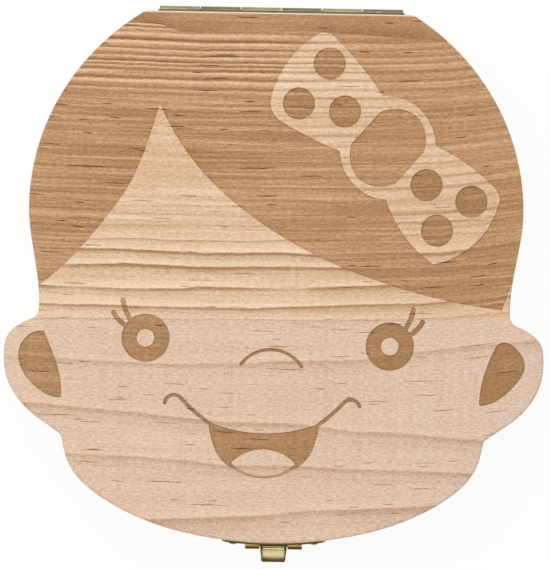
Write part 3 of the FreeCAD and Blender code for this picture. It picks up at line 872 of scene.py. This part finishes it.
@dataclass(frozen=True)
class MetalFinish:
    """Rolled sheet or drawn wire with smudges, tarnish, fine scratches and painted shade in places.

    The tarnish is its share, and its edges look eased by a radius in millimetres.
    """

    name: str
    bright: Colour
    tarnished: Colour
    tarnish: float
    roughness: float
    seed: float
    shades: tuple[Shade, ...] = ()
    eased: float = 0.1

    @cache
    def material(self) -> bpy.types.Material:
        """Builds the finish, once.

        Returns:
            The metal material.
        """
        material, sheet = new_material(self.name)
        x, y, z = sheet.place()
        smudge = SMUDGE.level(sheet, x, y, z, self.seed)
        speck = SPECK.level(sheet, x, y, z, self.seed)
        scratch = SCRATCH.level(sheet, x, y, z, self.seed)
        first = 0.62 - self.tarnish * 0.4
        stain = sheet.smooth(smudge + (speck - 0.5) * 0.12, first, first + 0.38)
        colour = sheet.mix(stain, self.bright, self.tarnished)
        # painted shade: each band darkens the colour towards its shade's colour
        for shade in self.shades:
            mask = shade.mask(sheet, {Axis.ASIDE: x, Axis.ALONG: y, Axis.UP: z})
            colour = sheet.mix(mask, colour, shade.colour)
        patches = GRIT_STEP.share(sheet, smudge * 0.7 + scratch * 0.3)
        bump = {
            "Strength": 0.15,
            "Distance": 0.02 * METRES_PER_MM,
            "Height": scratch * 0.6 + speck * 0.4,
            "Normal": sheet.add("ShaderNodeBevel", {"samples": 4}, {"Radius": self.eased * METRES_PER_MM}),
        }
        look = {
            "Base Color": sheet.mix(0.3, colour, patches, Blend.OVERLAY),
            "Metallic": 1.0,
            "Roughness": self.roughness + stain * 0.15 + (scratch - 0.5) * 0.15,
            "Normal": sheet.bump(bump),
        }
        sheet.surface(sheet.principled(look))
        return material


LID_STROKES = (
    GrainStroke(((-62, 16.0), (-36, 15.7), (-6, 16.0), (62, 18.5)), strength=0.22, below=0.9),
    GrainStroke(((-62, 14.6), (-36, 14.1), (-6, 13.8), (62, 17.0)), strength=0.32, below=0.9),
    GrainStroke(((-62, 13.0), (-37, 12.5), (-6, 12.6), (62, 15.5)), strength=0.25, below=0.7),
    GrainStroke(((-62, 12.0), (-37, 11.6), (-6, 11.6), (62, 14.5)), strength=0.38, below=0.9),
    GrainStroke(
        ((-62, 8.0), (-40, 8.2), (-29, 8.5), (-25, 8.2), (-6, 8.2), (62, 12.0)),
        strength=0.6,
        above=0.25,
        below=0.6,
    ),
    GrainStroke(
        (
            (-62, 6.4), (-43, 6.0), (-29, 5.8), (-16, 5.4), (1, 5.7),
            (9, 5.5), (37, 6.4), (45, 7.4), (62, 11),
        ),
        strength=0.95,
        below=2.4,
    ),
    GrainStroke(
        ((-62, 2.2), (-46, 2.4), (-33, 2.7), (-16, 2.2), (1, 2.6), (25, 2.7), (52, 4.1), (62, 5)),
        strength=0.95,
        below=2.8,
    ),
    GrainStroke(
        ((-62, -2), (-35, -2.8), (-20, -2.5), (-17, -2), (1, -2.3), (14, -1.6), (25, -1.1), (62, 2)),
        strength=0.85,
        below=2.4,
    ),
    GrainStroke(
        ((-62, -6.3), (-34, -6.6), (-6, -6.8), (1, -6.4), (15, -5.7), (32, -5.1), (38, -4.5), (62, -1.5)),
        strength=0.78,
        below=2.0,
    ),
    GrainStroke(
        ((-62, -9.8), (14, -9.0), (23, -8.7), (36, -8.2), (51, -6.7), (62, -5.5)),
        strength=0.35,
        below=0.8,
    ),
    GrainStroke(
        (
            (-62, -18), (-36, -19), (-23, -19.5), (-5, -19.1), (1, -18.4),
            (18, -18.1), (31, -15.8), (62, -12.4),
        ),
        strength=0.36,
        above=0.5,
        below=3.4,
        echo=0.2,
    ),
    GrainStroke(
        ((-62, -28), (-27, -30.6), (-10, -32.2), (6, -32.2), (18, -33.8), (28, -33.9), (62, -36.5)),
        strength=0.45,
        above=0.4,
        below=3.6,
        echo=0.25,
    ),
    GrainStroke(
        ((-62, -39), (-27, -40.3), (-17, -41), (-10, -41.7), (8, -41.6), (16, -42.1), (62, -42.8)),
        strength=0.42,
        above=0.4,
        below=3.4,
        echo=0.3,
    ),
    GrainStroke(
        ((-62, -56), (-23, -53.8), (-12, -53.3), (0, -52.5), (8, -51.5), (28, -50.6), (62, -48)),
        strength=0.5,
        above=0.4,
        below=4.5,
        echo=0.2,
    ),
    GrainStroke(((-62, -63), (0, -62), (62, -61)), strength=0.5, above=0.4, below=2.5),
)
LID_PINE = PineFinish(
    name="lid_pine",
    strokes=LID_STROKES,
    rings=RingField(start=9.0, end=62.0, first_gap=2.4, last_gap=1.1),
    drift=(
        (-62, 0.9), (-43, 0.4), (-16, -0.1), (8, 0.0), (25, 0.4),
        (37, 0.9), (45, 1.9), (55, 3.5), (62, 4.7),
    ),
    plain_back=GrainStroke(
        (
            (-62, 58.5), (-40, 57.5), (-31, 56.8), (-26, 56.1), (-22, 54.7),
            (0, 54.9), (9, 55.2), (34, 53.7), (62, 52.5),
        ),
        strength=0.7,
        above=4.0,
        below=0.25,
    ),
    top=30.0,
    lean=Lean(front=-2.2, back=-0.6),
    seed=3.0,
    dot_places=((11.3, 48.0), (4.7, 39.1), (14.9, 37.5), (33.3, 21.4), (43.3, 17.9), (35.8, 11.3)),
)
BASE_PINE = PineFinish(
    name="base_pine",
    strokes=(
        GrainStroke(((-62, -97), (0, -98), (62, -96)), strength=0.5, above=0.4, below=3.0),
        GrainStroke(((-62, -88), (0, -89.5), (62, -88)), strength=0.6, above=0.4, below=3.4, echo=0.2),
        GrainStroke(((-62, -79), (0, -80.5), (62, -80)), strength=0.5, above=0.4, below=2.6),
        GrainStroke(((-62, -69), (0, -70), (62, -71)), strength=0.6, above=0.4, below=3.2, echo=0.2),
        GrainStroke(((-62, -58), (0, -59), (62, -58.5)), strength=0.5, above=0.4, below=3.0),
        GrainStroke(((-62, -48), (0, -47), (62, -46)), strength=0.6, above=0.4, below=3.0, echo=0.2),
        GrainStroke(((-62, -36), (0, -36.5), (62, -34.5)), strength=0.6, above=0.4, below=3.0),
        GrainStroke(((-62, -26), (0, -27), (62, -26)), strength=0.7, above=0.4, below=2.6),
        GrainStroke(((-62, -19), (0, -19.5), (62, -18)), strength=0.5, above=0.4, below=2.2),
        GrainStroke(((-62, -12.5), (0, -12), (62, -11)), strength=0.8, above=0.35, below=1.6),
        GrainStroke(((-62, -7), (0, -6.5), (62, -5)), strength=0.7, above=0.35, below=1.4),
    ),
    rings=RingField(start=-2.0, end=70.0, first_gap=4.4, last_gap=2.4),
    drift=((-62, -0.8), (-20, 0.3), (15, 0.0), (62, 1.6)),
    top=20.0,
    lean=Lean(front=2.2, back=0.6),
    seed=17.0,
    low_front=Zone(-200.0, -203.0),
)
# Dark colour of the painted shade on the latch: tongue walls, lip and pin, plate knuckles and upper edge,
# nail tops
PAINTED_SHADE = tint(74, 58, 26)
NAIL_BRASS = MetalFinish(
    "nail_brass",
    bright=tint(206, 190, 148),
    tarnished=tint(130, 112, 74),
    tarnish=0.35,
    roughness=0.28,
    seed=8.0,
)
# Steel wire with painted shade: darkened to stand for the shade in the slit round the latch's pin
WIRE_STEEL_AND_SHADE = MetalFinish(
    "wire_steel_and_shade",
    bright=tint(60, 50, 36),
    tarnished=tint(40, 30, 20),
    tarnish=0.3,
    roughness=0.4,
    seed=11.0,
)


@dataclass(frozen=True)
class Solid(ABC):
    """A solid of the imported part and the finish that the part's record names for it."""

    node: str
    slot: Slot

    @abstractmethod
    def coats(self) -> list[bpy.types.Material]:
        """Materials for its slots."""

    def dress(self) -> None:
        """Puts the materials into the solid's slots."""
        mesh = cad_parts[self.node].data
        mesh.materials.clear()
        for coat in self.coats():
            mesh.materials.append(coat)

    def report(self) -> str:
        """Says what the solid is dressed in."""
        names = ", ".join(coat.name for coat in self.coats())
        return f"{self.node} ({self.slot.value}) dressed in {names}"


@dataclass(frozen=True)
class Fitting(Solid):
    """A metal piece of the hinge or the latch."""

    finish: MetalFinish

    def coats(self) -> list[bpy.types.Material]:
        """Its metal."""
        return [self.finish.material()]


@dataclass(frozen=True)
class Board(Solid):
    """A pine board: sanded, and scorched where its top is engraved to a depth in millimetres.

    A face is flat or upright by the upward share of its normal, and a depth holds within the margin.
    """

    finish: PineFinish
    engraved: float = 0.0
    margin: float = 0.01
    flat: float = 0.9
    upright: float = 0.1

    def coats(self) -> list[bpy.types.Material]:
        """Its sanded wood, and its scorched wood if it is engraved."""
        colours = (SANDED, SCORCHED) if self.engraved else (SANDED,)
        return [self.finish.material(each) for each in colours]

    def is_scorched(self, face: bpy.types.MeshPolygon) -> bool:
        """Tells the engraving from the sanded top and from the rounded rim.

        Args:
            face: A face of the board.

        Returns:
            True for a flat floor of the engraving and for an upright wall round one.
        """
        depth = self.finish.top - face.center.z * MM_PER_METRE
        floor = abs(depth - self.engraved) < self.margin and face.normal.z > self.flat
        wall = self.margin < depth < self.engraved and abs(face.normal.z) < self.upright
        return floor or wall

    def dress(self) -> None:
        """Dresses the board, with the scorched wood on the floors and walls of its engraving."""
        super().dress()
        if self.engraved:
            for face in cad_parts[self.node].data.polygons:
                face.material_index = int(self.is_scorched(face))


class Assembly(ABC):
    """A sub-assembly of the box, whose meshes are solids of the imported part."""

    @abstractmethod
    def build(self) -> tuple[Solid, ...]:
        """Its solids and their finishes."""

    def dress(self) -> tuple[Solid, ...]:
        """Gives every solid its finish.

        Returns:
            The dressed solids.
        """
        solids = self.build()
        for solid in solids:
            solid.dress()
        return solids


@dataclass(frozen=True)
class Boards(Assembly):
    """The base with its wells and the lid with its engraved face, whose depth is in millimetres."""

    engraved: float = 0.4

    def build(self) -> tuple[Solid, ...]:
        """Names the boards and their wood.

        Returns:
            The base and the lid.
        """
        return (
            Board("base_block", Slot.PINE_BASE, BASE_PINE),
            Board("lid_board", Slot.PINE_LID, LID_PINE, engraved=self.engraved),
        )


@dataclass(frozen=True)
class Hinge(Assembly):
    """The rolled hinge, in millimetres: the back that its leaves lie on, their thickness and upper edge."""

    back: float = 59.2
    leaf: float = 0.55
    upper_edge: float = 28.4
    # Colours of painted shade: upper leaf and its knuckles towards the board, lower leaf's knuckles, upper
    # edge
    leaf_shade_colour: Colour = tint(140, 127, 90)
    lower_shade_colour: Colour = tint(130, 117, 82)
    edge_shade_colour: Colour = tint(70, 62, 42)

    def lid_finish(self) -> MetalFinish:
        """Grey brass with painted shade on its leaf, across its knuckles towards the board, and on its upper
        edge.

        Returns:
            The finish of the upper leaf.
        """
        face = self.back + self.leaf
        # painted shade across the knuckles towards the board, and along the leaf's upper edge
        shades = (
            Shade(self.leaf_shade_colour, Axis.ALONG, face + 1.4, face + 0.2),
            Shade(self.edge_shade_colour, Axis.UP, self.upper_edge - 0.15, self.upper_edge - 0.05),
        )
        return MetalFinish(
            "grey_brass",
            bright=tint(170, 162, 134),
            tarnished=tint(126, 117, 90),
            tarnish=0.4,
            roughness=0.34,
            seed=5.0,
            shades=shades,
        )

    def base_finish(self) -> MetalFinish:
        """Darker brass of the lower leaf, with painted shade on the leaf and across its knuckles towards the
        board.

        Returns:
            The finish of the lower leaf.
        """
        face = self.back + self.leaf
        # painted shade across the lower leaf's knuckles towards the board
        shade = Shade(self.lower_shade_colour, Axis.ALONG, face + 1.5, face + 0.6)
        return MetalFinish(
            "dark_brass",
            bright=tint(136, 129, 105),
            tarnished=tint(96, 88, 66),
            tarnish=0.4,
            roughness=0.36,
            seed=6.0,
            shades=(shade,),
        )

    def build(self) -> tuple[Solid, ...]:
        """Names the hinge's pieces and their finishes.

        Returns:
            Leaves, pin and nails.
        """
        return (
            Fitting("hinge_leaf_base", Slot.BRASS_SHEET, self.base_finish()),
            Fitting("hinge_leaf_lid", Slot.BRASS_SHEET, self.lid_finish()),
            Fitting("hinge_pin", Slot.STEEL_WIRE, WIRE_STEEL_AND_SHADE),
            Fitting("hinge_nails_base", Slot.BRASS_NAILS, NAIL_BRASS),
            Fitting("hinge_nails_lid", Slot.BRASS_NAILS, NAIL_BRASS),
        )


@dataclass(frozen=True)
class Latch(Assembly):
    """The latch at the chin: its middle, pin, tongue and plate, in millimetres."""

    middle: float = 0.7
    pin_line: float = -59.84
    tongue_width: float = 5.9
    tongue_wall: float = 0.55
    tongue_front: float = -64.48
    plate_top: float = 28.2
    nail_top: float = 26.77

    def tongue_finish(self) -> MetalFinish:
        """Bright brass with painted shade on its walls, at its lip and round its pin.

        Returns:
            The finish of the tongue.
        """
        half = self.tongue_width / 2
        # painted shade on the walls, towards the lip and round the pin
        shades = (
            Shade(PAINTED_SHADE, Axis.ASIDE, half - self.tongue_wall - 0.05, half - 0.25, self.middle),
            Shade(PAINTED_SHADE, Axis.ALONG, self.tongue_front + 1.8, self.tongue_front + 0.4),
            Shade(PAINTED_SHADE, Axis.ALONG, self.pin_line - 1.35, self.pin_line - 1.0),
        )
        return MetalFinish(
            "tongue_brass",
            bright=tint(219, 200, 150),
            tarnished=tint(186, 164, 110),
            tarnish=0.25,
            roughness=0.32,
            seed=2.0,
            shades=shades,
        )

    def plate_finish(self) -> MetalFinish:
        """Olive brass with painted shade on its upper edge and on the outer side of its knuckles.

        Returns:
            The finish of the plate.
        """
        # painted shade on the outer side of the knuckles and along the upper edge
        shades = (
            Shade(PAINTED_SHADE, Axis.ALONG, self.pin_line + 0.1, self.pin_line - 0.6),
            Shade(PAINTED_SHADE, Axis.UP, self.plate_top - 0.2, self.plate_top - 0.05),
        )
        return MetalFinish(
            "plate_brass",
            bright=tint(160, 142, 92),
            tarnished=tint(120, 102, 60),
            tarnish=0.3,
            roughness=0.34,
            seed=3.0,
            shades=shades,
        )

    def nail_finish(self) -> MetalFinish:
        """Olive brass heads with painted shade on their upper rim.

        Returns:
            The finish of the plate's nails.
        """
        # painted shade on the top of each head
        shades = (Shade(PAINTED_SHADE, Axis.UP, self.nail_top - 0.6, self.nail_top - 0.1),)
        return MetalFinish(
            "latch_nail_brass",
            bright=tint(172, 154, 102),
            tarnished=tint(110, 92, 52),
            tarnish=0.35,
            roughness=0.3,
            seed=9.0,
            shades=shades,
        )

    def catch_finish(self) -> MetalFinish:
        """Olive brass, a little brighter than the plate.

        Returns:
            The finish of the catch.
        """
        return MetalFinish(
            "catch_brass",
            bright=tint(178, 158, 104),
            tarnished=tint(128, 108, 64),
            tarnish=0.3,
            roughness=0.32,
            seed=4.0,
        )

    def build(self) -> tuple[Solid, ...]:
        """Names the latch's pieces and their finishes.

        Returns:
            Plate, tongue, pin and nails on the lid, and the catch with its nails on the base.
        """
        return (
            Fitting("latch_plate", Slot.BRASS_SHEET, self.plate_finish()),
            Fitting("latch_tongue", Slot.BRASS_SHEET, self.tongue_finish()),
            Fitting("latch_pin", Slot.STEEL_WIRE, WIRE_STEEL_AND_SHADE),
            Fitting("latch_nails", Slot.BRASS_NAILS, self.nail_finish()),
            Fitting("catch_plate", Slot.BRASS_SHEET, self.catch_finish()),
            Fitting("catch_nails", Slot.BRASS_NAILS, NAIL_BRASS),
        )


@dataclass(frozen=True)
class Studio:
    """White floor, white surroundings, one soft lamp and the camera straight above, in metres.

    The paper is the floor's own shade, and the floor glow the share of plain white in what is seen of it.
    The camera's turn is in degrees, and its sensor and lens are in millimetres.
    """

    floor_size: float = 6.0
    paper: Colour = (0.9, 0.9, 0.9)
    floor_glow: float = 0.9
    ambient: float = 0.55
    lamp_power: float = 10.0
    lamp_size: float = 1.0
    lamp_place: tuple[float, float, float] = (-0.25, 0.35, 1.25)
    camera_height: float = 0.61
    camera_place: tuple[float, float] = (0.00002, -0.00122)
    camera_turn: float = 1.0
    sensor: float = 36.0
    lens: float = 171.0
    nearest: float = 0.01

    def seen_directly(self, sheet: NodeSheet) -> Term:
        """Share of 1 for rays from the camera, from gloss and through glass."""
        path = sheet.add("ShaderNodeLightPath", None, None, "Is Camera Ray")
        return path + path.other("Is Glossy Ray") + path.other("Is Transmission Ray")

    def build_floor(self) -> None:
        """Lays the white floor, which keeps a faint shadow of the box."""
        mesh = bpy.data.meshes.new("floor")
        grid = bmesh.new()
        bmesh.ops.create_grid(grid, x_segments=1, y_segments=1, size=self.floor_size / 2)
        grid.to_mesh(mesh)
        grid.free()
        floor = bpy.data.objects.new("floor", mesh)
        bpy.context.scene.collection.objects.link(floor)
        material, sheet = new_material("white_floor")
        paper = sheet.add("ShaderNodeBsdfDiffuse", None, {"Color": self.paper})
        glow = sheet.add("ShaderNodeEmission", None, {"Color": WHITE, "Strength": 1.0})
        share = self.seen_directly(sheet) * self.floor_glow
        sheet.surface(sheet.add("ShaderNodeMixShader", None, {0: share, 1: paper, 2: glow}))
        mesh.materials.append(material)

    def build_world(self) -> None:
        """Lights the surroundings evenly and shows them white."""
        world = bpy.data.worlds.new("studio")
        bpy.context.scene.world = world
        world.use_nodes = True
        sheet = NodeSheet(world.node_tree)
        soft = sheet.add("ShaderNodeBackground", None, {"Color": WHITE, "Strength": self.ambient})
        white = sheet.add("ShaderNodeBackground", None, {"Color": WHITE, "Strength": 1.0})
        shown = sheet.add("ShaderNodeMixShader", None, {0: self.seen_directly(sheet), 1: soft, 2: white})
        sheet.add("ShaderNodeOutputWorld", None, {"Surface": shown})

    def build_lamp(self) -> None:
        """Hangs one large soft lamp above the back left."""
        light = bpy.data.lights.new("soft_lamp", "AREA")
        light.energy = self.lamp_power
        light.size = self.lamp_size
        lamp = bpy.data.objects.new("soft_lamp", light)
        lamp.location = self.lamp_place
        across, along, up = self.lamp_place
        lamp.rotation_euler = (-math.atan2(along, up), math.atan2(across, math.hypot(along, up)), 0.0)
        bpy.context.scene.collection.objects.link(lamp)

    def build_camera(self) -> None:
        """Looks straight down, turned as the photograph is."""
        lens = bpy.data.cameras.new("above")
        lens.sensor_fit = "HORIZONTAL"
        lens.sensor_width = self.sensor
        lens.lens = self.lens
        lens.clip_start = self.nearest
        camera = bpy.data.objects.new("above", lens)
        camera.location = (*self.camera_place, self.camera_height)
        camera.rotation_euler = (0.0, 0.0, math.radians(self.camera_turn))
        bpy.context.scene.collection.objects.link(camera)
        bpy.context.scene.camera = camera

    def build(self) -> None:
        """Sets up the studio."""
        self.build_floor()
        self.build_world()
        self.build_lamp()
        self.build_camera()
        bpy.context.scene.view_settings.view_transform = "Standard"


def main() -> None:
    """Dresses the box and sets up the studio."""
    for assembly in (Boards(), Hinge(), Latch()):
        for solid in assembly.dress():
            LOG.info(solid.report())
    Studio().build()
    LOG.info("studio set up")


if __name__ == "__main__":
    logging.basicConfig(level=logging.INFO, format="%(message)s")
    main()
